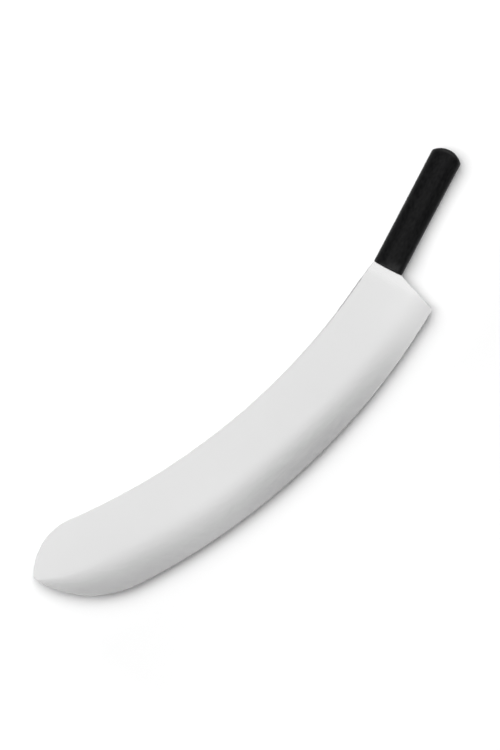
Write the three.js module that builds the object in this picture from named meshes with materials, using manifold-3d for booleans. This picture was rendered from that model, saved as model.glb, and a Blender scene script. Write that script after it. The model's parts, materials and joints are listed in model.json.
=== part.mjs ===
import * as THREE from 'three';
import { mergeVertices } from 'three/addons/utils/BufferGeometryUtils.js';
import Module from 'manifold-3d';

// Mincing knife: a long curved blade, ground from one steel plate, and a handle moulded over its tang.
// Millimetres. The knife lies flat: X runs from the tip to the butt, Y from the edge to the spine, Z up.
// X is 0 at the front face of the handle, Y is 0 on the handle's middle line,
// Z is 0 in the middle of the plate.

// Blade outline
const BLADE_THICKNESS = 3.5;
const BLADE_REACH = 465.5;     // handle front to the foremost point of the belly
const SPINE_RADIUS = 709;     // hollow back of the blade
const SPINE_TOUCH = 54.5;     // behind the handle front, where the spine's arc would meet the handle
const SHOULDER_LENGTH = 32;   // run from the handle's side into the spine's arc
const NOSE_RADIUS = 64.5;     // round, unsharpened end
const NOSE_SETBACK = 34;      // foremost point of the belly back to the middle of the nose
const TIP_ROUND = 4;          // corner between the nose and the edge
const BELLY_RADIUS = 114;     // edge near the tip
const EDGE_RADIUS = 762;      // edge from the belly to the heel
const EDGE_LOW = 22;          // behind the handle front, where the edge's arc would be lowest
const EDGE_DROP = 62.9;       // handle's middle line to that lowest point
const HEEL_LEAN = 20;         // degrees, back of the heel against a line square to the handle
const HEEL_ROUND = 3;         // corner of the heel

// Blade section
const BEVEL_HEEL = 28;        // width of the ground face at the heel
const BEVEL_FULL = 43;        // and where the belly begins
const BEVEL_SPREAD = 0.85;    // widening from the tip: 1 follows a quarter wave, less is sooner
const BEVEL_FADE = 1.2;       // depth of the grind near the tip: 1 keeps its angle, more is shallower
const GRIND_HEEL = 0.6;       // depth of the grind at the heel, as a share of the full depth
const GRIND_RUNOUT = 0.5;     // share of the edge over which it grows to the full depth
const EDGE_BEVEL = 0.9;       // width of the final sharpening
const EDGE_HALF = 0.3;        // half the plate left where the sharpening begins
const SPINE_EASE = 0.4;       // broken corners along the spine and the nose

// Tang
const TANG_LENGTH = 104;
const TANG_WIDTH = 20;
const TANG_END_ROUND = 6;
const KEY_HOLE = 8;           // diameter of the holes that the plastic fills
const KEY_FIRST = 22;         // handle front to the first hole
const KEY_PITCH = 30;
const KEY_COUNT = 3;

// Handle
const HANDLE_LENGTH = 142;
const HANDLE_WIDTH = 33.4;    // at the waist
const HANDLE_WAIST = 40;      // handle front to the narrowest place
const HANDLE_FLARE = 0.65;    // more width at the butt
const HANDLE_THICKNESS = 22;
const HANDLE_FLAT = 4;        // flat strip along the middle of each broad side
const HANDLE_SQUARENESS = 2.3; // 2 is an elliptic shoulder beside the strip, more is squarer
const BUTT_BULGE = 8;         // middle of the butt beyond its corners, seen from above
const BUTT_ROUND = 5;         // rounded rim of the butt, on the broad sides
const BUTT_CORNER = 0.25;     // and on the narrow sides
const FRONT_BOW = 0.7;        // middle of the front before its sides, seen from above
const FRONT_ROUND = 3;        // rounded rim of the front, on the broad sides
const FRONT_CORNER = 0.8;     // and on the narrow sides
const FRONT_EASE = 13;        // stretch over which the handle thins towards the blade
const FRONT_DROP = 1.6;       // how much each broad side sinks there

const FIT = 0.3;              // clearance between the blade and the handle

const wasm = await Module();
wasm.setup();

const halfT = BLADE_THICKNESS / 2;
const halfW = HANDLE_WIDTH / 2;
const halfH = HANDLE_THICKNESS / 2;
const halfTang = TANG_WIDTH / 2;
const at = (x, y) => new THREE.Vector2(x, y);
const lerp = THREE.MathUtils.lerp;
const fullTurn = 2 * Math.PI;
const holeSteps = 24;

// Circles

function onCircle(circle, angle) {
  return at(circle.x + circle.r * Math.cos(angle), circle.y + circle.r * Math.sin(angle));
}

function angleOn(circle, point) {
  return Math.atan2(point.y - circle.y, point.x - circle.x);
}

// An angle, as it is reached by turning to the left from another one.
function onwards(from, angle) {
  return from + THREE.MathUtils.euclideanModulo(angle - from, fullTurn);
}

function arc(circle, from, to, steps) {
  const points = [];
  for (let i = 0; i <= steps; i++) points.push(onCircle(circle, lerp(from, to, i / steps)));
  return points;
}

// The crossing of two circles that lies to the left of the way from the first centre to the second.
function crossing(a, b) {
  const dx = b.x - a.x;
  const dy = b.y - a.y;
  const d = Math.hypot(dx, dy);
  const along = (a.r * a.r - b.r * b.r + d * d) / (2 * d);
  const aside = Math.sqrt(a.r * a.r - along * along);
  return at(a.x + (along * dx - aside * dy) / d, a.y + (along * dy + aside * dx) / d);
}

// The point on a line, from start along a unit direction, where it leaves a circle.
function lineLeaves(start, direction, circle) {
  const fx = start.x - circle.x;
  const fy = start.y - circle.y;
  const b = fx * direction.x + fy * direction.y;
  const c = fx * fx + fy * fy - circle.r * circle.r;
  return start.clone().addScaledVector(direction, -b + Math.sqrt(b * b - c));
}

// Outline of the blade: four arcs, each tangent to the next but for the corner at the tip

const spine = { x: SPINE_TOUCH, y: halfW + SPINE_RADIUS, r: SPINE_RADIUS };
const nose = { x: NOSE_SETBACK - BLADE_REACH, r: NOSE_RADIUS };
nose.y = spine.y - Math.sqrt((SPINE_RADIUS + NOSE_RADIUS) ** 2 - (spine.x - nose.x) ** 2);
const edge = { x: EDGE_LOW, y: EDGE_RADIUS - EDGE_DROP, r: EDGE_RADIUS };
const belly = { x: BELLY_RADIUS - BLADE_REACH, r: BELLY_RADIUS };
belly.y = edge.y - Math.sqrt((EDGE_RADIUS - BELLY_RADIUS) ** 2 - (edge.x - belly.x) ** 2);

const tip = { r: TIP_ROUND };
const insideNose = { ...nose, r: NOSE_RADIUS - TIP_ROUND };
const tipCentre = crossing(insideNose, { ...belly, r: BELLY_RADIUS - TIP_ROUND });
tip.x = tipCentre.x;
tip.y = tipCentre.y;
const noseFrom = angleOn(nose, spine);
const tipFrom = onwards(noseFrom, angleOn(nose, tip));
const tipTo = onwards(tipFrom, angleOn(belly, tip));

// The front of the handle bows towards the blade, and the root of the blade follows it.
const bow = (y) => FRONT_BOW * (y / halfW) ** 2;
const rootAt = (y) => at(bow(y) - FIT, y);

const heelTop = rootAt(-halfW);
const lean = THREE.MathUtils.degToRad(HEEL_LEAN);
const heelWay = at(-Math.sin(lean), -Math.cos(lean));
const heelInward = at(-Math.cos(lean), Math.sin(lean));
const heelStart = heelTop.clone().addScaledVector(heelInward, HEEL_ROUND);
const heelCentre = lineLeaves(heelStart, heelWay, { ...edge, r: EDGE_RADIUS - HEEL_ROUND });
const heel = { x: heelCentre.x, y: heelCentre.y, r: HEEL_ROUND };
const heelAngle = angleOn(edge, heel);
const bellyAngle = angleOn(edge, belly);
const bevelAtHeel = lineLeaves(heelTop, heelWay, { ...edge, r: EDGE_RADIUS - BEVEL_HEEL });

// Mesh with shared corners

class Body {
  constructor() {
    this.ids = new Map();
    this.positions = [];
    this.index = [];
  }

  corner(p) {
    const key = p.map((v) => Math.round(v * 1e4)).join();
    if (!this.ids.has(key)) {
      this.ids.set(key, this.positions.length / 3);
      this.positions.push(...p);
    }
    return this.ids.get(key);
  }

  triangle(a, b, c) {
    const [i, j, k] = [a, b, c].map((p) => this.corner(p));
    if (i !== j && j !== k && k !== i) this.index.push(i, j, k);
  }

  // Faces between two columns of points, each listed from the top down.
  // The outside lies on the right of the way from one column to the next.
  strip(from, to) {
    for (let k = 0; k + 1 < from.length; k++) {
      this.triangle(from[k], from[k + 1], to[k + 1]);
      this.triangle(from[k], to[k + 1], to[k]);
    }
  }

  strips(columns) {
    for (let i = 0; i + 1 < columns.length; i++) this.strip(columns[i], columns[i + 1]);
  }

  // Flat faces above and below, from an outline that runs to the left round its inside.
  flats(outline, holes, z) {
    const points = [outline, ...holes].flat();
    for (const [a, b, c] of THREE.ShapeUtils.triangulateShape(outline, holes)) {
      const [p, q, r] = [points[a], points[b], points[c]];
      this.triangle([p.x, p.y, z], [q.x, q.y, z], [r.x, r.y, z]);
      this.triangle([p.x, p.y, -z], [r.x, r.y, -z], [q.x, q.y, -z]);
    }
  }

  geometry() {
    const geometry = new THREE.BufferGeometry();
    geometry.setAttribute('position', new THREE.Float32BufferAttribute(this.positions, 3));
    geometry.setIndex(this.index);
    geometry.computeVertexNormals();
    return geometry;
  }
}

const wall = (p, z = halfT) => [[p.x, p.y, z], [p.x, p.y, -z]];

// Blade

// Back of the blade, from the handle to the tip: each point with the way into the plate.
function backOutline() {
  const shoulderRise = Math.sqrt(SPINE_RADIUS ** 2 - (SPINE_TOUCH + SHOULDER_LENGTH) ** 2);
  const shoulderEnd = at(-SHOULDER_LENGTH, spine.y - shoulderRise);
  const spineFrom = angleOn(spine, shoulderEnd);
  const slope = -1 / Math.tan(spineFrom);
  const bendX = -SHOULDER_LENGTH / 2;
  const bend = at(bendX, shoulderEnd.y + slope * (bendX - shoulderEnd.x));
  const shoulder = new THREE.QuadraticBezierCurve(rootAt(halfW), bend, shoulderEnd);
  const shoulderSteps = 5;
  const spineSteps = 44;
  const noseSteps = 18;
  const tipSteps = 5;
  const back = [];
  for (let i = 0; i < shoulderSteps; i++) {
    const way = shoulder.getTangent(i / shoulderSteps);
    back.push({ p: shoulder.getPoint(i / shoulderSteps), inward: at(-way.y, way.x) });
  }
  const spineTo = angleOn(spine, nose);
  for (const p of arc(spine, spineFrom, spineTo, spineSteps)) {
    back.push({ p, inward: p.clone().sub(spine).normalize() });
  }
  for (const p of arc(nose, noseFrom, tipFrom, noseSteps).slice(1)) {
    back.push({ p, inward: at(nose.x, nose.y).sub(p).normalize() });
  }
  for (const p of arc(tip, tipFrom, tipTo, tipSteps).slice(1)) {
    back.push({ p, inward: at(tip.x, tip.y).sub(p).normalize() });
  }
  return back;
}

function backColumns() {
  const back = backOutline();
  return back.map(({ p, inward }, i) => {
    const ease = i === 0 || i === back.length - 1 ? 0 : SPINE_EASE;
    const q = p.clone().addScaledVector(inward, ease);
    const z = halfT - ease;
    return [[q.x, q.y, halfT], [p.x, p.y, z], [p.x, p.y, -z], [q.x, q.y, -halfT]];
  });
}

// One section of the ground face, from where the grind begins, through the edge, to the other side.
// Its width, as a share of the full one, is ground: 0 at the tip, where the sharpening runs out as well.
function grindColumn(start, end, ground, depth) {
  const width = start.distanceTo(end);
  const keen = 1 - (1 - ground) ** 4;
  const sharpening = width > 0 ? EDGE_BEVEL * keen / width : 0;
  const left = lerp(halfT, EDGE_HALF, depth);
  const land = keen > 0.9 ? 0 : halfT * (1 - keen) ** 2;
  const upper = [];
  const steps = 8;
  for (let j = 0; j <= steps; j++) {
    const u = j / steps;
    const p = start.clone().lerp(end, u * (1 - sharpening));
    upper.push([p.x, p.y, lerp(halfT, left, u * u * (3 - u) / 2)]);
  }
  upper.push([end.x, end.y, land]);
  return [...upper, ...upper.map(([x, y, z]) => [x, y, -z]).reverse()];
}

function grindColumns() {
  const columns = [];
  const bellyFrom = tipTo - fullTurn;
  const bellySteps = 26;
  for (let i = 0; i < bellySteps; i++) {
    const u = i / bellySteps;
    const angle = lerp(bellyFrom, bellyAngle, u);
    const ground = Math.sin(u * Math.PI / 2) ** BEVEL_SPREAD;
    const start = onCircle({ ...belly, r: BELLY_RADIUS - BEVEL_FULL * ground }, angle);
    columns.push(grindColumn(start, onCircle(belly, angle), ground, ground ** BEVEL_FADE));
  }
  // The sections turn into line with the back of the heel as they come near it.
  const turn = angleOn(edge, bevelAtHeel) - heelAngle;
  const groundAtHeel = BEVEL_HEEL / BEVEL_FULL;
  const edgeSteps = 44;
  for (let i = 0; i <= edgeSteps; i++) {
    const u = i / edgeSteps;
    const angle = lerp(bellyAngle, heelAngle, u);
    const ground = lerp(groundAtHeel, 1, Math.sin((1 - u) * Math.PI / 2));
    const depth = lerp(GRIND_HEEL, 1, THREE.MathUtils.smoothstep(1 - u, 0, GRIND_RUNOUT));
    const inner = { ...edge, r: EDGE_RADIUS - BEVEL_FULL * ground };
    const start = onCircle(inner, angle + turn * u ** 6);
    columns.push(grindColumn(start, onCircle(edge, angle), ground, depth));
  }
  const heelSteps = 4;
  for (const p of arc(heel, heelAngle, -lean, heelSteps).slice(1)) {
    columns.push(grindColumn(bevelAtHeel, p, groundAtHeel, GRIND_HEEL));
  }
  return columns;
}

function tangOutline(length, half, round) {
  const lower = { x: length - round, y: round - half, r: round };
  const upper = { x: length - round, y: half - round, r: round };
  const steps = 6;
  return [...arc(lower, -Math.PI / 2, 0, steps), ...arc(upper, 0, Math.PI / 2, steps)];
}

function keyCentres() {
  return Array.from({ length: KEY_COUNT }, (unused, i) => at(KEY_FIRST + i * KEY_PITCH, 0));
}

function blade() {
  const body = new Body();
  const back = backColumns();
  const grind = grindColumns();
  const heelColumn = grind[grind.length - 1];
  const tangEnd = tangOutline(TANG_LENGTH, halfTang, TANG_END_ROUND);
  const tang = [rootAt(-halfTang), ...tangEnd, rootAt(halfTang)];
  const holes = keyCentres().map((c) => {
    const hole = { x: c.x, y: c.y, r: KEY_HOLE / 2 };
    return arc(hole, fullTurn, 0, holeSteps).slice(0, -1);
  });

  const top = [...back, ...grind.slice(1)].map((column) => at(column[0][0], column[0][1]));
  body.flats([...top, heelTop, tang[0], tang[tang.length - 1]], [], halfT);
  body.flats(tang, holes, halfT);

  body.strips(back);
  body.strips(grind);
  const heelUpper = heelColumn.slice(0, heelColumn.length / 2);
  const heelWall = heelUpper.reverse().map(([x, y, z]) => wall(at(x, y), z));
  body.strips([...heelWall, ...[heelTop, ...tang, rootAt(halfW)].map((p) => wall(p))]);
  for (const hole of holes) body.strips([...hole, hole[0]].map((p) => wall(p)));
  return body.geometry();
}

// Handle

// One ring round the handle, from one narrow side over the top to the other and back below.
function ring(half, height, x) {
  const flat = HANDLE_FLAT / 2;
  const steps = 9;
  const quarter = [];
  for (let i = 0; i <= steps; i++) {
    const angle = i / steps * Math.PI / 2;
    const y = flat + (half - flat) * Math.cos(angle) ** (2 / HANDLE_SQUARENESS);
    const z = height * Math.sin(angle) ** (2 / HANDLE_SQUARENESS);
    quarter.push([i === steps ? flat : y, z]);
  }
  const side = quarter.map(([y, z]) => [-y, z]).reverse();
  const over = [...quarter, [0, height], ...side];
  const under = over.slice(1, -1).map(([y, z]) => [y, -z]).reverse();
  return [...over, ...under].map(([y, z]) => [x(y), y, z]);
}

function handleRings() {
  const rings = [];
  const sink = (x) => FRONT_DROP * Math.max(0, 1 - x / FRONT_EASE) ** 2;
  const bowed = (x) => (y) => x + bow(y) * (1 - x / FRONT_EASE);
  const fromWaist = (x) => (x - HANDLE_WAIST) / (HANDLE_LENGTH - HANDLE_WAIST);
  const halfAt = (x) => halfW + HANDLE_FLARE / 2 * fromWaist(x) ** 2;
  const frontSteps = 5;
  for (let i = 0; i <= frontSteps; i++) {
    const angle = i / frontSteps * Math.PI / 2;
    const x = FRONT_ROUND * (1 - Math.cos(angle));
    const inset = 1 - Math.sin(angle);
    const height = halfH - FRONT_ROUND * inset - sink(x);
    rings.push(ring(halfAt(x) - FRONT_CORNER * inset, height, bowed(x)));
  }
  const easeSteps = 6;
  for (let i = 1; i <= easeSteps; i++) {
    const x = lerp(FRONT_ROUND, FRONT_EASE, i / easeSteps);
    rings.push(ring(halfAt(x), halfH - sink(x), bowed(x)));
  }
  const buttHalf = halfAt(HANDLE_LENGTH);
  const buttRadius = (buttHalf * buttHalf + BUTT_BULGE * BUTT_BULGE) / (2 * BUTT_BULGE);
  const hollow = (y) => buttRadius - Math.sqrt(buttRadius * buttRadius - y * y);
  const gripSteps = 6;
  for (let i = 1; i < gripSteps; i++) {
    const x = lerp(FRONT_EASE, HANDLE_LENGTH - BUTT_ROUND, i / gripSteps);
    rings.push(ring(halfAt(x), halfH, (y) => x - hollow(y) * i / gripSteps));
  }
  const buttSteps = 6;
  for (let i = 0; i <= buttSteps; i++) {
    const angle = i / buttSteps * Math.PI / 2;
    const inset = 1 - Math.cos(angle);
    const end = HANDLE_LENGTH - BUTT_ROUND * (1 - Math.sin(angle));
    const half = halfAt(end) - BUTT_CORNER * inset;
    rings.push(ring(half, halfH - BUTT_ROUND * inset, (y) => end - hollow(y)));
  }
  return rings;
}

function handleOuter() {
  const body = new Body();
  const rings = handleRings();
  const count = rings[0].length;
  for (let k = 0; k + 1 < rings.length; k++) {
    body.strip([...rings[k], rings[k][0]], [...rings[k + 1], rings[k + 1][0]]);
  }
  const front = rings[0];
  const butt = rings[rings.length - 1];
  for (let i = 0; i < count / 2; i++) {
    const below = (count - i) % count;
    const next = count - i - 1;
    body.strip([front[i], front[below]], [front[i + 1], front[next]]);
    body.strip([butt[i + 1], butt[next]], [butt[i], butt[below]]);
  }
  return body.geometry();
}

// Room for the tang, open at the front, with the plastic left standing in the tang's holes.
function socket() {
  const outline = tangOutline(TANG_LENGTH + FIT, halfTang + FIT, TANG_END_ROUND + FIT);
  const mouth = -FRONT_ROUND;
  const shape = new THREE.Shape([at(mouth, -halfTang - FIT), ...outline, at(mouth, halfTang + FIT)]);
  for (const c of keyCentres()) {
    shape.holes.push(new THREE.Path().absarc(c.x, c.y, KEY_HOLE / 2 - FIT, 0, fullTurn, true));
  }
  const depth = BLADE_THICKNESS + 2 * FIT;
  const room = new THREE.ExtrudeGeometry(shape, { depth, bevelEnabled: false, curveSegments: holeSteps });
  return room.translate(0, 0, -depth / 2);
}

function toManifold(geometry) {
  const bare = geometry.clone();
  bare.deleteAttribute('normal');
  bare.deleteAttribute('uv');
  const merged = mergeVertices(bare, 1e-4);
  return new wasm.Manifold(new wasm.Mesh({
    numProp: 3,
    vertProperties: new Float32Array(merged.attributes.position.array),
    triVerts: new Uint32Array(merged.index.array),
  }));
}

function fromManifold(solid) {
  const mesh = solid.getMesh();
  const geometry = new THREE.BufferGeometry();
  geometry.setAttribute('position', new THREE.BufferAttribute(new Float32Array(mesh.vertProperties), 3));
  geometry.setIndex(new THREE.BufferAttribute(new Uint32Array(mesh.triVerts), 1));
  geometry.computeVertexNormals();
  return geometry;
}

function handle() {
  return fromManifold(toManifold(handleOuter()).subtract(toManifold(socket())));
}

// Assembly

const steel = new THREE.MeshStandardMaterial({ color: 0xdcdddd, roughness: 0.3, metalness: 1 });
const plastic = new THREE.MeshStandardMaterial({ color: 0x1c1c1d, roughness: 0.5, metalness: 0 });

const bladeMesh = new THREE.Mesh(blade(), steel);
bladeMesh.name = 'blade';
const handleMesh = new THREE.Mesh(handle(), plastic);
handleMesh.name = 'handle';

// The origin lies below the middle of the knife, on the surface that the handle rests on.
const knife = new THREE.Group();
knife.name = 'mincing_knife';
knife.add(bladeMesh, handleMesh);
const box = new THREE.Box3().setFromObject(knife, true);
knife.position.set(-(box.min.x + box.max.x) / 2, -(box.min.y + box.max.y) / 2, -box.min.z);

export default knife;
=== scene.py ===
import json
import math

import bmesh
import bpy
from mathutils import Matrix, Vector
from mathutils.geometry import tessellate_polygon

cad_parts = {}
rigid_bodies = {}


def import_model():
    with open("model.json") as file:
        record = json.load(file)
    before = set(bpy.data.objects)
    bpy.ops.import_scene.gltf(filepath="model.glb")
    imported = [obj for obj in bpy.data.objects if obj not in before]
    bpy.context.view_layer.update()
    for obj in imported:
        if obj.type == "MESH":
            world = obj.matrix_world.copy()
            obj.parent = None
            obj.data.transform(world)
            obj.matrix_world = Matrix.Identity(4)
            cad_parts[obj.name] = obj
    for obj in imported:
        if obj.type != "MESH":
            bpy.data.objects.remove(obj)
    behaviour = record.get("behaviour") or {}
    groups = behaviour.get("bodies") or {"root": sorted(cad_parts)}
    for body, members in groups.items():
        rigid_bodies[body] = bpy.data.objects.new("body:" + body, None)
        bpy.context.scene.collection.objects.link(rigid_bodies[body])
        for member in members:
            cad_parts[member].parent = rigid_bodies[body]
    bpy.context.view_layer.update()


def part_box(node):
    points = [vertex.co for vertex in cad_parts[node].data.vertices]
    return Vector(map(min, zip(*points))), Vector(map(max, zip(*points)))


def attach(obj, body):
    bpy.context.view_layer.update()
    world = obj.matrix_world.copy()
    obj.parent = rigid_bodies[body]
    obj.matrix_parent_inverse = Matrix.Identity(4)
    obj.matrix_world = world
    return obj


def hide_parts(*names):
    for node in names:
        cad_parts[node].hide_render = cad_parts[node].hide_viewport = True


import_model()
scene = bpy.context.scene
scene.view_settings.view_transform = "Standard"

# Sizes in millimetres, from the middle of the handle's front face: X to the butt, Y to the spine, Z up.

BLADE_THICKNESS = 3.5
BLADE_REACH = 465.5
SPINE_RADIUS = 709
SPINE_TOUCH = 54.5
SHOULDER_LENGTH = 32
NOSE_RADIUS = 64.5
NOSE_SETBACK = 34
TIP_ROUND = 4
BELLY_RADIUS = 114
EDGE_RADIUS = 762
EDGE_LOW = 22
EDGE_DROP = 62.9
HEEL_LEAN = math.radians(20)
HEEL_ROUND = 3

BEVEL_HEEL = 28
BEVEL_FULL = 43
BEVEL_SPREAD = 0.85
BEVEL_FADE = 1.2
GRIND_HEEL = 0.6
GRIND_RUNOUT = 0.5
EDGE_BEVEL = 0.9
EDGE_HALF = 0.3
CORNER_EASE = 0.45
SPINE_EASE = ((-14, CORNER_EASE), (-24, 1.3), (-60, 1.3), (-90, 1.7), (-240, 1.2))
SPINE_CHAMFER = ((-14, 0), (-22, 1), (-60, 1), (-74, 0))
CHAMFER_FALL = 0.9

TANG_LENGTH = 104
TANG_WIDTH = 20
TANG_END_ROUND = 6
KEY_HOLE = 8
KEY_CENTRES = (22, 52, 82)
KEY_TURN = math.radians(2.5)

HANDLE_LENGTH = 142
HANDLE_WIDTH = 33.4
HANDLE_FLARE = 0.65
WAIST = 40
HANDLE_THICKNESS = 22
HANDLE_FLAT = 4
HANDLE_SQUARENESS = 2.3
BUTT_BULGE = 8
BUTT_ROUND = 5
BUTT_CORNER = 0.25
FRONT_BOW = 0.7
FRONT_ROUND = 3
FRONT_CORNER = 0.8
FRONT_EASE = 13
FRONT_DROP = 1.6
PARTING_DEPTH = 0.12
PARTING_HALF = 0.3
PARTING_ANGLE = 0.035

FIT = 0.3
SOCKET_OVERRUN = 2

# Numbers of steps along the curves

EASE_STEPS = 6
SHOULDER_STEPS = 16
SPINE_STEPS = 150
NOSE_STEPS = 60
TIP_STEPS = 12
SPINE_EASE_IN = 3
TIP_EASE_OUT = 8
GRIND_STEPS = 22
BELLY_STEPS = 90
EDGE_STEPS = 150
HEEL_STEPS = 8
HEEL_WALL_STEPS = 24
HEEL_EASE_IN = 4
TANG_END_STEPS = 10
KEY_STEPS = 40
SECTION_STEPS = 22
FRONT_STEPS = 10
FRONT_EASE_STEPS = 16
GRIP_STEPS = 16
BUTT_STEPS = 12

HALF_T = BLADE_THICKNESS / 2
HALF_W = HANDLE_WIDTH / 2
HALF_H = HANDLE_THICKNESS / 2
HALF_TANG = TANG_WIDTH / 2

handle_low, handle_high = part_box("handle")
ORIGIN = Vector((handle_low.x, (handle_low.y + handle_high.y) / 2, (handle_low.z + handle_high.z) / 2))


def place(point):
    return ORIGIN + Vector(point) * 0.001


def lerp(a, b, t):
    return a + (b - a) * t


def smooth(t):
    return t * t * (3 - 2 * t)


def at(x, y):
    return Vector((x, y))


def bow(y):
    """How far the front of the handle, and the root of the blade with it, draws back towards its sides."""
    return FRONT_BOW * (y / HALF_W) ** 2


def root_at(y):
    return at(bow(y) - FIT, y)


# Circles as (centre, radius)

def on_circle(circle, angle):
    centre, radius = circle
    return at(centre.x + radius * math.cos(angle), centre.y + radius * math.sin(angle))


def angle_on(circle, point):
    return math.atan2(point.y - circle[0].y, point.x - circle[0].x)


def onwards(start, angle):
    """An angle, as it is reached by turning to the left from another one."""
    return start + (angle - start) % (2 * math.pi)


def arc(circle, start, end, steps):
    return [on_circle(circle, lerp(start, end, i / steps)) for i in range(steps + 1)]


def crossing(a, b):
    way = b[0] - a[0]
    d = way.length
    along = (a[1] ** 2 - b[1] ** 2 + d * d) / (2 * d)
    aside = math.sqrt(a[1] ** 2 - along ** 2)
    return a[0] + at(along * way.x - aside * way.y, along * way.y + aside * way.x) / d


def line_leaves(start, way, circle):
    off = start - circle[0]
    b = off.dot(way)
    return start + way * (math.sqrt(b * b - off.dot(off) + circle[1] ** 2) - b)


# Outline of the blade

spine = (at(SPINE_TOUCH, HALF_W + SPINE_RADIUS), SPINE_RADIUS)
nose_x = NOSE_SETBACK - BLADE_REACH
nose_y = spine[0].y - math.sqrt((SPINE_RADIUS + NOSE_RADIUS) ** 2 - (SPINE_TOUCH - nose_x) ** 2)
nose = (at(nose_x, nose_y), NOSE_RADIUS)
edge = (at(EDGE_LOW, EDGE_RADIUS - EDGE_DROP), EDGE_RADIUS)
belly_x = BELLY_RADIUS - BLADE_REACH
belly_y = edge[0].y - math.sqrt((EDGE_RADIUS - BELLY_RADIUS) ** 2 - (EDGE_LOW - belly_x) ** 2)
belly = (at(belly_x, belly_y), BELLY_RADIUS)
tip = (crossing((nose[0], NOSE_RADIUS - TIP_ROUND), (belly[0], BELLY_RADIUS - TIP_ROUND)), TIP_ROUND)
tip_from = onwards(angle_on(nose, spine[0]), angle_on(nose, tip[0]))
tip_to = onwards(tip_from, angle_on(belly, tip[0]))

heel_top = root_at(-HALF_W)
heel_way = at(-math.sin(HEEL_LEAN), -math.cos(HEEL_LEAN))
heel_inward = at(-math.cos(HEEL_LEAN), math.sin(HEEL_LEAN))
heel_from = heel_top + heel_inward * HEEL_ROUND
heel_centre = line_leaves(heel_from, heel_way, (edge[0], EDGE_RADIUS - HEEL_ROUND))
heel = (heel_centre, HEEL_ROUND)
heel_angle = angle_on(edge, heel_centre)
belly_angle = angle_on(edge, belly[0])
bevel_at_heel = line_leaves(heel_top, heel_way, (edge[0], EDGE_RADIUS - BEVEL_HEEL))


# Meshes with shared corners

class Shell:
    def __init__(self):
        self.ids = {}
        self.points = []
        self.faces = []
        self.creases = set()

    def corner(self, point):
        key = tuple(round(v, 4) for v in point)
        if key not in self.ids:
            self.ids[key] = len(self.points)
            self.points.append(key)
        return self.ids[key]

    def face(self, *points):
        ids = []
        for point in points:
            i = self.corner(point)
            if i not in ids:
                ids.append(i)
        if len(ids) > 2:
            self.faces.append(ids)

    def strips(self, columns):
        for a, b in zip(columns, columns[1:]):
            for k in range(len(a) - 1):
                self.face(a[k], a[k + 1], b[k + 1], b[k])

    def crease(self, line):
        ids = [self.corner(point) for point in line]
        for a, b in zip(ids, ids[1:]):
            self.creases.add((min(a, b), max(a, b)))

    def flats(self, outline, z, holes=()):
        if not holes:
            self.face(*[(p.x, p.y, z) for p in outline])
            self.face(*[(p.x, p.y, -z) for p in reversed(outline)])
            return
        loops = [[Vector((p.x, p.y, 0)) for p in loop] for loop in (outline, *holes)]
        points = [p for loop in loops for p in loop]
        for triangle in tessellate_polygon(loops):
            a, b, c = (points[i] for i in triangle)
            if (b - a).cross(c - a).z < 0:
                b, c = c, b
            self.face((a.x, a.y, z), (b.x, b.y, z), (c.x, c.y, z))
            self.face((a.x, a.y, -z), (c.x, c.y, -z), (b.x, b.y, -z))

    def object(self, name):
        mesh = bpy.data.meshes.new(name)
        mesh.from_pydata([place(p) for p in self.points], [], self.faces)
        made = bpy.data.objects.new(name, mesh)
        scene.collection.objects.link(made)
        return made


def finish_shading(piece, creases=(), limit=math.radians(35)):
    work = bmesh.new()
    work.from_mesh(piece.data)
    for face in work.faces:
        face.smooth = True
    for line in work.edges:
        ends = tuple(sorted(v.index for v in line.verts))
        folded = len(line.link_faces) == 2 and line.calc_face_angle() > limit
        line.smooth = not (folded or ends in creases)
    work.to_mesh(piece.data)
    work.free()
    weighted = piece.modifiers.new("weighted normals", "WEIGHTED_NORMAL")
    weighted.keep_sharp = True
    weighted.weight = 50


# Blade

def wall(p, z=HALF_T):
    return [(p.x, p.y, z), (p.x, p.y, -z)]


def eased_column(p, inward, ease, chamfer=0):
    """Corners broken by a rounding, or by a flat chamfer, or by something between the two."""
    upper = []
    for i in range(EASE_STEPS + 1):
        t = i / EASE_STEPS
        angle = t * math.pi / 2
        back = lerp(1 - math.sin(angle), 1 - t, chamfer)
        fall = lerp(1 - math.cos(angle), t * CHAMFER_FALL, chamfer)
        q = p + inward * ease * back
        upper.append((q.x, q.y, HALF_T - ease * fall))
    return upper + [(x, y, -z) for x, y, z in reversed(upper)]


def along_spine(knots, x):
    """A value that changes along the spine, from the handle to the nose."""
    for (x0, v0), (x1, v1) in zip(knots, knots[1:]):
        if x > x1:
            return lerp(v0, v1, smooth(min(1, max(0, (x - x0) / (x1 - x0)))))
    return knots[-1][1]


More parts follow.
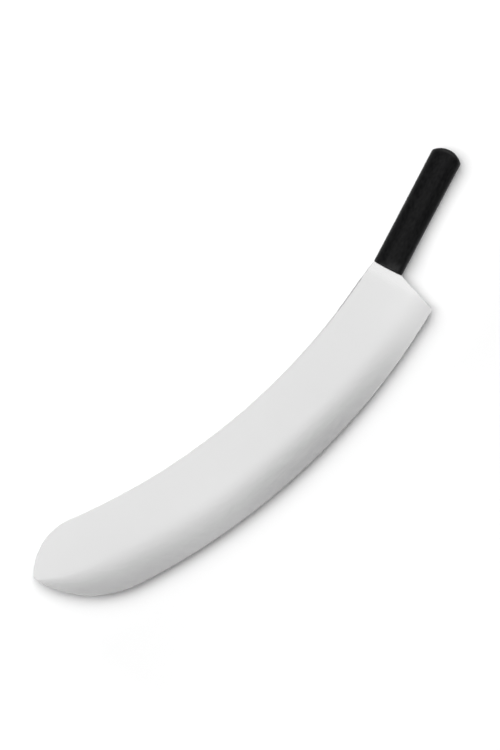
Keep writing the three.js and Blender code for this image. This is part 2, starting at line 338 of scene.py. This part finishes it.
def back_columns():
    end_y = spine[0].y - math.sqrt(SPINE_RADIUS ** 2 - (SPINE_TOUCH + SHOULDER_LENGTH) ** 2)
    end = at(-SHOULDER_LENGTH, end_y)
    spine_from = angle_on(spine, end)
    bend_x = -SHOULDER_LENGTH / 2
    bend = at(bend_x, end.y - (bend_x - end.x) / math.tan(spine_from))
    start = root_at(HALF_W)
    back = []
    for i in range(SHOULDER_STEPS):
        t = i / SHOULDER_STEPS
        p = start * (1 - t) ** 2 + bend * 2 * t * (1 - t) + end * t * t
        way = ((bend - start) * (1 - t) + (end - bend) * t).normalized()
        back.append((p, at(-way.y, way.x)))
    for p in arc(spine, spine_from, angle_on(spine, nose[0]), SPINE_STEPS):
        back.append((p, (p - spine[0]).normalized()))
    for p in arc(nose, angle_on(nose, spine[0]), tip_from, NOSE_STEPS)[1:]:
        back.append((p, (nose[0] - p).normalized()))
    for p in arc(tip, tip_from, tip_to, TIP_STEPS)[1:]:
        back.append((p, (tip[0] - p).normalized()))
    last = len(back) - 1
    columns = []
    for i, (p, inward) in enumerate(back):
        ease = along_spine(SPINE_EASE, p.x) * min(1, i / SPINE_EASE_IN, (last - i) / TIP_EASE_OUT)
        columns.append(eased_column(p, inward, ease, along_spine(SPINE_CHAMFER, p.x)))
    return columns


def grind_column(start, end, ground, depth):
    width = (end - start).length
    keen = 1 - (1 - ground) ** 4
    sharpening = EDGE_BEVEL * ground * depth / width if width > 0 else 0
    left = lerp(HALF_T, EDGE_HALF, depth)
    land = 0 if keen > 0.9 else HALF_T * (1 - keen) ** 2
    upper = []
    for j in range(GRIND_STEPS + 1):
        u = j / GRIND_STEPS
        p = start.lerp(end, u * (1 - sharpening))
        upper.append((p.x, p.y, lerp(HALF_T, left, u * u * (3 - u) / 2)))
    upper.append((end.x, end.y, land))
    return upper + [(x, y, -z) for x, y, z in reversed(upper)]


def grind_columns():
    columns = []
    belly_from = tip_to - 2 * math.pi
    for i in range(BELLY_STEPS):
        u = i / BELLY_STEPS
        angle = lerp(belly_from, belly_angle, u)
        ground = math.sin(u * math.pi / 2) ** BEVEL_SPREAD
        start = on_circle((belly[0], BELLY_RADIUS - BEVEL_FULL * ground), angle)
        columns.append(grind_column(start, on_circle(belly, angle), ground, ground ** BEVEL_FADE))
    turn = angle_on(edge, bevel_at_heel) - heel_angle
    heel_ground = BEVEL_HEEL / BEVEL_FULL
    for i in range(EDGE_STEPS + 1):
        u = i / EDGE_STEPS
        angle = lerp(belly_angle, heel_angle, u)
        ground = lerp(heel_ground, 1, math.sin((1 - u) * math.pi / 2))
        start = on_circle((edge[0], EDGE_RADIUS - BEVEL_FULL * ground), angle + turn * u ** 6)
        depth = lerp(GRIND_HEEL, 1, smooth(min(1, (1 - u) / GRIND_RUNOUT)))
        columns.append(grind_column(start, on_circle(edge, angle), ground, depth))
    for p in arc(heel, heel_angle, -HEEL_LEAN, HEEL_STEPS)[1:]:
        columns.append(grind_column(bevel_at_heel, p, heel_ground, GRIND_HEEL))
    return columns


def tang_outline(length, half, round_):
    lower = (at(length - round_, round_ - half), round_)
    upper = (at(length - round_, half - round_), round_)
    lower_end = arc(lower, -math.pi / 2, 0, TANG_END_STEPS)
    return lower_end + arc(upper, 0, math.pi / 2, TANG_END_STEPS)


def key_circles(radius):
    """Each starts at an angle of its own, so that no corners of three holes lie on one line."""
    circles = []
    for i, x in enumerate(KEY_CENTRES):
        start = i * KEY_TURN
        circles.append(arc((at(x, 0), radius), 2 * math.pi + start, start, KEY_STEPS)[:-1])
    return circles


def make_blade():
    shell = Shell()
    back = back_columns()
    grind = grind_columns()
    tang = [root_at(-HALF_TANG)]
    tang += tang_outline(TANG_LENGTH, HALF_TANG, TANG_END_ROUND)
    tang += [root_at(HALF_TANG)]
    holes = key_circles(KEY_HOLE / 2)
    shell.strips(back)
    shell.strips(grind)

    # Back of the heel: its upper and lower corners are broken between the handle and the ground face.
    heel_column = grind[-1]
    half = len(heel_column) // 2
    shell.strips([[(x, y, z), (x, y, -z)] for x, y, z in reversed(heel_column[:half])])
    span = (heel_top - bevel_at_heel).length
    heel_wall = []
    for i in range(HEEL_WALL_STEPS + 1):
        t = i / HEEL_WALL_STEPS
        ease = CORNER_EASE * min(1, i / HEEL_EASE_IN, (HEEL_WALL_STEPS - i) / HEEL_EASE_IN)
        heel_wall.append(eased_column(bevel_at_heel - heel_way * span * t, heel_inward, ease))
    shell.strips(heel_wall)

    shell.strips([wall(p) for p in [heel_top] + tang + [root_at(HALF_W)]])
    for hole in holes:
        shell.strips([wall(p) for p in hole + hole[:1]])
    outline = [at(c[0][0], c[0][1]) for c in back + grind[1:] + heel_wall[1:]]
    shell.flats(outline + [tang[0], tang[-1]], HALF_T)
    shell.flats(tang, HALF_T, holes)
    for k in range(GRIND_STEPS, GRIND_STEPS + 4):
        shell.crease([column[k] for column in grind])
    blade = shell.object("blade_plate")
    finish_shading(blade, shell.creases)
    return blade


# Handle

def ring(half, height, x):
    """A section of the handle, with the parting groove at each side and a narrow flat above and below."""
    flat = HANDLE_FLAT / 2
    power = 2 / HANDLE_SQUARENESS
    side_y = flat + (half - flat) * (1 - (PARTING_HALF / height) ** HANDLE_SQUARENESS) ** (power / 2)
    quarter = [(half - PARTING_DEPTH, 0), (side_y, PARTING_HALF)]
    for i in range(1, SECTION_STEPS + 1):
        angle = lerp(PARTING_ANGLE, math.pi / 2, i / SECTION_STEPS)
        y = flat + (half - flat) * max(0, math.cos(angle)) ** power
        quarter.append((flat if i == SECTION_STEPS else y, height * math.sin(angle) ** power))
    over = quarter + [(flat / 2, height), (0, height), (-flat / 2, height)]
    over += [(-y, z) for y, z in reversed(quarter)]
    under = [(y, -z) for y, z in reversed(over[1:-1])]
    return [(x(y), y, z) for y, z in over + under]


def make_handle():
    rings = []

    def sink(x):
        return FRONT_DROP * max(0, 1 - x / FRONT_EASE) ** 2

    def half_at(x):
        return HALF_W + HANDLE_FLARE / 2 * ((x - WAIST) / (HANDLE_LENGTH - WAIST)) ** 2

    def bowed(x):
        return lambda y: x + bow(y) * (1 - x / FRONT_EASE)

    for i in range(FRONT_STEPS + 1):
        angle = i / FRONT_STEPS * math.pi / 2
        x = FRONT_ROUND * (1 - math.cos(angle))
        inset = 1 - math.sin(angle)
        height = HALF_H - FRONT_ROUND * inset - sink(x)
        rings.append(ring(half_at(x) - FRONT_CORNER * inset, height, bowed(x)))
    for i in range(1, FRONT_EASE_STEPS + 1):
        x = lerp(FRONT_ROUND, FRONT_EASE, i / FRONT_EASE_STEPS)
        rings.append(ring(half_at(x), HALF_H - sink(x), bowed(x)))
    butt_half = half_at(HANDLE_LENGTH)
    butt_radius = (butt_half ** 2 + BUTT_BULGE ** 2) / (2 * BUTT_BULGE)

    def bulged(end, weight=1):
        return lambda y: end - weight * (butt_radius - math.sqrt(butt_radius ** 2 - y * y))

    for i in range(1, GRIP_STEPS):
        t = i / GRIP_STEPS
        end = lerp(FRONT_EASE, HANDLE_LENGTH - BUTT_ROUND, t)
        rings.append(ring(half_at(end), HALF_H, bulged(end, t)))
    for i in range(BUTT_STEPS + 1):
        angle = i / BUTT_STEPS * math.pi / 2
        inset = 1 - math.cos(angle)
        end = HANDLE_LENGTH - BUTT_ROUND * (1 - math.sin(angle))
        rings.append(ring(half_at(end) - BUTT_CORNER * inset, HALF_H - BUTT_ROUND * inset, bulged(end)))

    shell = Shell()
    shell.strips([r + r[:1] for r in rings])
    front, butt = rings[0], rings[-1]
    count = len(front)
    for i in range(count // 2):
        below, following = (count - i) % count, count - i - 1
        shell.face(front[i], front[below], front[following], front[i + 1])
        shell.face(butt[i + 1], butt[following], butt[below], butt[i])
    handle = shell.object("handle_grip")

    # Socket for the tang, with the plastic that fills the tang's holes left standing.
    room = Shell()
    outline = [at(-SOCKET_OVERRUN, -HALF_TANG - FIT)]
    outline += tang_outline(TANG_LENGTH + FIT, HALF_TANG + FIT, TANG_END_ROUND + FIT)
    outline += [at(-SOCKET_OVERRUN, HALF_TANG + FIT)]
    holes = key_circles(KEY_HOLE / 2 - FIT)
    room.flats(outline, HALF_T + FIT, holes)
    room.strips([wall(p, HALF_T + FIT) for p in outline + outline[:1]])
    for hole in holes:
        room.strips([wall(p, HALF_T + FIT) for p in hole + hole[:1]])
    socket = room.object("socket_cut")
    cut = handle.modifiers.new("socket", "BOOLEAN")
    cut.operation = "DIFFERENCE"
    cut.solver = "EXACT"
    cut.object = socket
    evaluated = handle.evaluated_get(bpy.context.evaluated_depsgraph_get())
    result = bpy.data.meshes.new_from_object(evaluated)
    handle.modifiers.clear()
    handle.data = result
    bpy.data.objects.remove(socket)
    finish_shading(handle)
    return handle


# Materials

class Nodes:
    def __init__(self, tree):
        self.tree = tree

    def add(self, kind, **settings):
        node = self.tree.nodes.new(kind)
        for name, value in settings.items():
            setattr(node, name, value)
        return node

    def link(self, out, into):
        self.tree.links.new(out, into)

    def math(self, operation, a, b=0.0):
        node = self.add("ShaderNodeMath", operation=operation)
        for socket, value in zip(node.inputs, (a, b)):
            if isinstance(value, (int, float)):
                socket.default_value = value
            else:
                self.link(value, socket)
        return node.outputs[0]

    def span(self, value, low, high, to_low, to_high, kind="LINEAR"):
        node = self.add("ShaderNodeMapRange", interpolation_type=kind)
        self.link(value, node.inputs["Value"])
        limits = {"From Min": low, "From Max": high, "To Min": to_low, "To Max": to_high}
        for name, number in limits.items():
            node.inputs[name].default_value = number
        return node.outputs["Result"]

    def noise(self, vector, scale, detail=2.0, roughness=0.5):
        node = self.add("ShaderNodeTexNoise")
        self.link(vector, node.inputs["Vector"])
        node.inputs["Scale"].default_value = scale
        node.inputs["Detail"].default_value = detail
        node.inputs["Roughness"].default_value = roughness
        return node.outputs["Fac"]

    def ramp(self, fac, *stops):
        node = self.add("ShaderNodeValToRGB")
        self.link(fac, node.inputs["Fac"])
        elements = node.color_ramp.elements
        while len(elements) < len(stops):
            elements.new(0.5)
        for element, (position, colour) in zip(elements, stops):
            element.position = position
            element.color = (*colour, 1)
        return node.outputs["Color"]


def grey(level, blue=0.0):
    return level, level, level + blue


def new_material(name):
    material = bpy.data.materials.new(name)
    material.use_nodes = True
    tree = material.node_tree
    return material, Nodes(tree), tree.nodes["Principled BSDF"]


def steel_material():
    material, n, shader = new_material("satin_steel")
    shader.inputs["Metallic"].default_value = 1.0
    where = n.add("ShaderNodeTexCoord").outputs["Object"]

    # Polar coordinates about the middle of the spine's arc: the polishing lines run from back to edge.
    centre = place((spine[0].x, spine[0].y, 0))
    moved = n.add("ShaderNodeVectorMath", operation="SUBTRACT")
    n.link(where, moved.inputs[0])
    moved.inputs[1].default_value = centre
    parts = n.add("ShaderNodeSeparateXYZ")
    n.link(moved.outputs[0], parts.inputs[0])
    x, y, z = parts.outputs
    along = n.math("MULTIPLY", n.math("ARCTAN2", x, n.math("MULTIPLY", y, -1.0)), SPINE_RADIUS / 1000)
    across = n.math("SQRT", n.math("ADD", n.math("MULTIPLY", x, x), n.math("MULTIPLY", y, y)))
    polar = n.add("ShaderNodeCombineXYZ")
    n.link(along, polar.inputs[0])
    n.link(n.math("MULTIPLY", across, 0.012), polar.inputs[1])
    n.link(z, polar.inputs[2])
    lines = n.noise(polar.outputs[0], 5200.0, 2.0, 0.55)
    bands = n.noise(polar.outputs[0], 260.0, 2.0, 0.5)
    cloud = n.noise(where, 14.0, 3.0, 0.55)
    # Painted light: the steel's colour is painted a little lighter by the handle, standing in for the
    # brighter light at the blade's root.
    painted_light_from = -(SPINE_TOUCH + 24) / 1000
    painted_light_full = -(SPINE_TOUCH + 4) / 1000
    painted_light_by_handle = n.span(x, painted_light_from, painted_light_full, 0.0, 0.4, "SMOOTHSTEP")
    tone = n.math("ADD", n.math("MULTIPLY", lines, 0.45), n.math("MULTIPLY", cloud, 0.55))
    greys = n.ramp(
        n.math("ADD", tone, painted_light_by_handle),
        (0.3, grey(0.745)),
        (0.7, grey(0.775)),
        (1.0, grey(0.85)),
    )
    n.link(greys, shader.inputs["Base Color"])
    wear = n.math("ADD", n.math("MULTIPLY", cloud, 0.6), n.math("MULTIPLY", lines, 0.4))
    n.link(n.span(wear, 0.3, 0.7, 0.232, 0.252), shader.inputs["Roughness"])
    # Hand grinding leaves the faces a few thousandths of a millimetre uneven.
    dents = n.noise(where, 130.0, 2.0, 0.5)
    height = n.math("ADD", n.math("MULTIPLY", lines, 0.3), n.math("MULTIPLY", bands, 0.7))
    height = n.math("ADD", height, n.math("MULTIPLY", dents, 16.0))
    bump = n.add("ShaderNodeBump")
    bump.inputs["Strength"].default_value = 0.1
    bump.inputs["Distance"].default_value = 0.00002
    n.link(height, bump.inputs["Height"])
    n.link(bump.outputs["Normal"], shader.inputs["Normal"])
    return material


def plastic_material():
    material, n, shader = new_material("black_plastic")
    shader.inputs["Specular IOR Level"].default_value = 0.1
    where = n.add("ShaderNodeTexCoord").outputs["Object"]
    grain = n.noise(where, 2400.0, 2.0, 0.5)
    patches = n.noise(where, 180.0, 4.0, 0.6)
    # Streaks in the black, drawn out along the handle
    drawn = n.add("ShaderNodeVectorMath", operation="MULTIPLY")
    n.link(where, drawn.inputs[0])
    drawn.inputs[1].default_value = (0.5, 1.0, 1.0)
    streaks = n.noise(drawn.outputs[0], 420.0, 3.0, 0.6)
    blacks = n.ramp(streaks, (0.3, grey(0.0011, 0.0002)), (0.7, grey(0.0058, 0.0002)))
    n.link(blacks, shader.inputs["Base Color"])
    finish = n.math("ADD", n.math("MULTIPLY", patches, 0.6), n.math("MULTIPLY", grain, 0.4))
    n.link(n.span(finish, 0.3, 0.7, 0.29, 0.36), shader.inputs["Roughness"])
    bump = n.add("ShaderNodeBump")
    bump.inputs["Strength"].default_value = 0.3
    bump.inputs["Distance"].default_value = 0.00006
    n.link(grain, bump.inputs["Height"])
    n.link(bump.outputs["Normal"], shader.inputs["Normal"])
    return material


blade = make_blade()
blade.data.materials.append(steel_material())
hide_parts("blade")
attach(blade, "root")

handle = make_handle()
handle.data.materials.clear()
handle.data.materials.append(plastic_material())
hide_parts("handle")
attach(handle, "root")


# Camera: straight above, turned so that the handle points to the upper right

PICTURE_WIDTH = 500
PICTURE_HEIGHT = 750
PIXEL = 1.06
HANDLE_TURN = math.radians(62.25)
HANDLE_FRONT = at(387.03, 268.5)
LENS = 300
SENSOR = 36

to_butt = at(math.cos(HANDLE_TURN), -math.sin(HANDLE_TURN))
to_edge = at(math.sin(HANDLE_TURN), math.cos(HANDLE_TURN))
from_front = at((PICTURE_WIDTH - 1) / 2, (PICTURE_HEIGHT - 1) / 2) - HANDLE_FRONT
camera_data = bpy.data.cameras.new("camera")
camera_data.lens = LENS
camera_data.sensor_width = SENSOR
camera = bpy.data.objects.new("camera", camera_data)
scene.collection.objects.link(camera)
distance = LENS * PICTURE_HEIGHT * PIXEL / SENSOR
camera.location = place((PIXEL * from_front.dot(to_butt), -PIXEL * from_front.dot(to_edge), distance))
camera.rotation_euler = (0, 0, -HANDLE_TURN)
scene.camera = camera


def seen(right, down):
    """World direction of a direction in the picture."""
    way = at(right, down).normalized()
    return Vector((way.dot(to_butt), -way.dot(to_edge), 0))


# Light. The steel and the plastic mirror the world, a dark dome with a bright panel overhead.
# The softboxes light the rest, the largest of them from the upper left of the picture.

world = bpy.data.worlds.new("studio")
scene.world = world
world.use_nodes = True
world.cycles_visibility.diffuse = False
n = Nodes(world.node_tree)
world.node_tree.nodes.clear()
way = n.add("ShaderNodeTexCoord").outputs["Generated"]


def towards(direction):
    node = n.add("ShaderNodeVectorMath", operation="DOT_PRODUCT")
    n.link(way, node.inputs[0])
    node.inputs[1].default_value = direction
    return node.outputs["Value"]


# The panel is an ellipse overhead. Its sizes are sines of the angle from straight up.
PANEL_LEVEL = 1.215
PANEL_SHIFT = 0.035
PANEL_HALF = 0.139
PANEL_LONG = 0.45

low_right = towards(seen(0.48, 0.88))
lengthwise = towards(seen(0.88, -0.48))
upward = towards(Vector((0, 0, 1)))
to_butt_end = towards(Vector((1, 0, 0)))
downward = towards(seen(0.25, 0.97))
qa = n.math("DIVIDE", n.math("ADD", low_right, PANEL_SHIFT), PANEL_HALF)
qb = n.math("DIVIDE", lengthwise, PANEL_LONG)
q = n.math("SQRT", n.math("ADD", n.math("MULTIPLY", qa, qa), n.math("MULTIPLY", qb, qb)))
panel = n.span(q, 0.85, 1.15, PANEL_LEVEL, 0.0, "SMOOTHSTEP")
panel = n.math("MULTIPLY", panel, n.math("GREATER_THAN", upward, 0.0))
dome = n.span(downward, 0.25, 0.55, 0.1, 0.48, "SMOOTHSTEP")
low_down = n.span(upward, 0.1, 0.5, 1.0, 0.0, "SMOOTHSTEP")
sides = n.math("MULTIPLY", low_down, n.span(low_right, -0.9, -0.3, 0.42, 0.1))
ends = n.span(to_butt_end, 0.35, 0.75, 0.0, 0.7, "SMOOTHSTEP")
level = n.math("ADD", n.math("ADD", panel, dome), n.math("ADD", sides, ends))
studio = n.add("ShaderNodeBackground")
n.link(level, studio.inputs["Color"])
white = n.add("ShaderNodeBackground")
white.inputs["Color"].default_value = (1, 1, 1, 1)
path = n.add("ShaderNodeLightPath")
pick = n.add("ShaderNodeMixShader")
n.link(path.outputs["Is Camera Ray"], pick.inputs[0])
n.link(studio.outputs[0], pick.inputs[1])
n.link(white.outputs[0], pick.inputs[2])
out = n.add("ShaderNodeOutputWorld")
n.link(pick.outputs[0], out.inputs["Surface"])


def softbox(name, centre, aim, width, depth=None, level=1.0, only=None):
    """A rectangle, or a disk, at one point and facing another, both in the handle's millimetres.

    Its size is in metres. It shows as white at a level of 1, and may light one piece alone.
    """
    data = bpy.data.lights.new(name, "AREA")
    data.shape = "RECTANGLE" if depth else "DISK"
    data.size = width
    area = math.pi * width ** 2 / 4
    if depth:
        data.size_y = depth
        area = width * depth
    data.energy = level * math.pi * area
    made = bpy.data.objects.new(name, data)
    scene.collection.objects.link(made)
    made.location = place(centre)
    made.rotation_euler = (place(aim) - made.location).to_track_quat("-Z", "Y").to_euler()
    made.visible_camera = False
    if only:
        made.light_linking.receiver_collection = only
    return made


def alone(piece):
    group = bpy.data.collections.new(piece.name + "_alone")
    group.objects.link(piece)
    return group


# The key, at the upper left, is centred on the blade: its disk fills KEY_HALF to each side.
KEY_LEVEL = 1.08
KEY_HEIGHT = 1300
KEY_LEAN = math.radians(31)
KEY_HALF = math.radians(41)
KEY_AIM = Vector((-220, -10, 0))
key_off = seen(-0.64, -0.77) * KEY_HEIGHT * math.tan(KEY_LEAN) + Vector((0, 0, KEY_HEIGHT))
key_width = 2 * key_off.length * math.tan(KEY_HALF) / 1000
key_level = KEY_LEVEL / (math.sin(KEY_HALF) ** 2 * math.cos(KEY_LEAN))
key = softbox("key", KEY_AIM + key_off, KEY_AIM, key_width, level=key_level)
key.visible_glossy = False

# A narrow fill beside the handle, on the edge's side
handle_fill = softbox("handle_fill", (78, -95, 60), (78, -30, -HALF_H), 0.11, 0.05, level=0.26)
handle_fill.data.spread = math.radians(54)
handle_fill.visible_glossy = False

# Softboxes for one piece alone, which show as reflections in the steel and in the ends of the handle
steel_alone = alone(blade)
grip_alone = alone(handle)
softbox("heel_softbox", (-10, -120, 450), (-10, -120, 0), 0.12, level=0.28, only=steel_alone)
softbox("bevel_softbox", (-344, 9, 450), (-344, 9, 0), 0.12, level=0.12, only=steel_alone)
softbox("spine_softbox", (-310, 420, 290), (-425, 161, 0), 0.69, 0.41, only=steel_alone)
softbox("nose_softbox", (-635, 290, 220), (-465, 100, 0), 0.26, 0.24, level=0.85, only=steel_alone)
softbox("front_softbox", (-40, -75, 118), (0, -75, 8), 0.16, 0.05, level=4.0, only=grip_alone)
softbox("low_front_softbox", (-190, 0, 95), (0, 0, 8), 0.24, 0.06, level=9.0, only=grip_alone)
softbox("butt_softbox", (215, 0, 75), (139, 0, 9), 0.14, 0.09, level=2.5, only=grip_alone)


# Floor

FLOOR_HALF = 6
floor_mesh = bpy.data.meshes.new("floor")
corners = [(x * FLOOR_HALF, y * FLOOR_HALF, 0) for x, y in ((-1, -1), (1, -1), (1, 1), (-1, 1))]
floor_mesh.from_pydata(corners, [], [(0, 1, 2, 3)])
floor = bpy.data.objects.new("floor", floor_mesh)
scene.collection.objects.link(floor)
paper = bpy.data.materials.new("floor_white")
paper.use_nodes = True
n = Nodes(paper.node_tree)
paper.node_tree.nodes.clear()
diffuse = n.add("ShaderNodeBsdfDiffuse")
diffuse.inputs["Color"].default_value = (0.9, 0.9, 0.9, 1)
path = n.add("ShaderNodeLightPath")
shown = n.math("MAXIMUM", path.outputs["Is Camera Ray"], path.outputs["Is Glossy Ray"])
shown = n.math("MAXIMUM", shown, path.outputs["Is Transmission Ray"])
# The paper stays white where the key falls off: away from it, out to the sides, and far out in low views.
where = n.add("ShaderNodeTexCoord").outputs["Object"]


def along_floor(direction):
    """How far out a place is in one direction, in metres from where the key is aimed."""
    node = n.add("ShaderNodeVectorMath", operation="DOT_PRODUCT")
    n.link(where, node.inputs[0])
    node.inputs[1].default_value = direction
    return n.math("SUBTRACT", node.outputs["Value"], place(KEY_AIM).dot(direction))


away_from_key = -key_off.xy.normalized().to_3d()
whiter = n.span(along_floor(away_from_key), 0.03, 0.5, 0.06, 0.4)
past_nose = n.span(along_floor(seen(-0.7, 0.7)), 0.285, 0.33, 0.0, 0.04)
whiter = n.math("ADD", whiter, past_nose)
outwards = n.add("ShaderNodeVectorMath", operation="DISTANCE")
n.link(where, outwards.inputs[0])
outwards.inputs[1].default_value = place(KEY_AIM).xy.to_3d()
for near, far, added in ((0.35, 0.46, 0.1), (0.6, 3.0, 0.9)):
    whiter = n.math("ADD", whiter, n.span(outwards.outputs["Value"], near, far, 0.0, added))
glow = n.add("ShaderNodeEmission")
glow.inputs["Color"].default_value = (1, 1, 1, 1)
n.link(n.math("MULTIPLY", shown, whiter), glow.inputs["Strength"])
both = n.add("ShaderNodeAddShader")
n.link(diffuse.outputs[0], both.inputs[0])
n.link(glow.outputs[0], both.inputs[1])
out = n.add("ShaderNodeOutputMaterial")
n.link(both.outputs[0], out.inputs["Surface"])
floor_mesh.materials.append(paper)
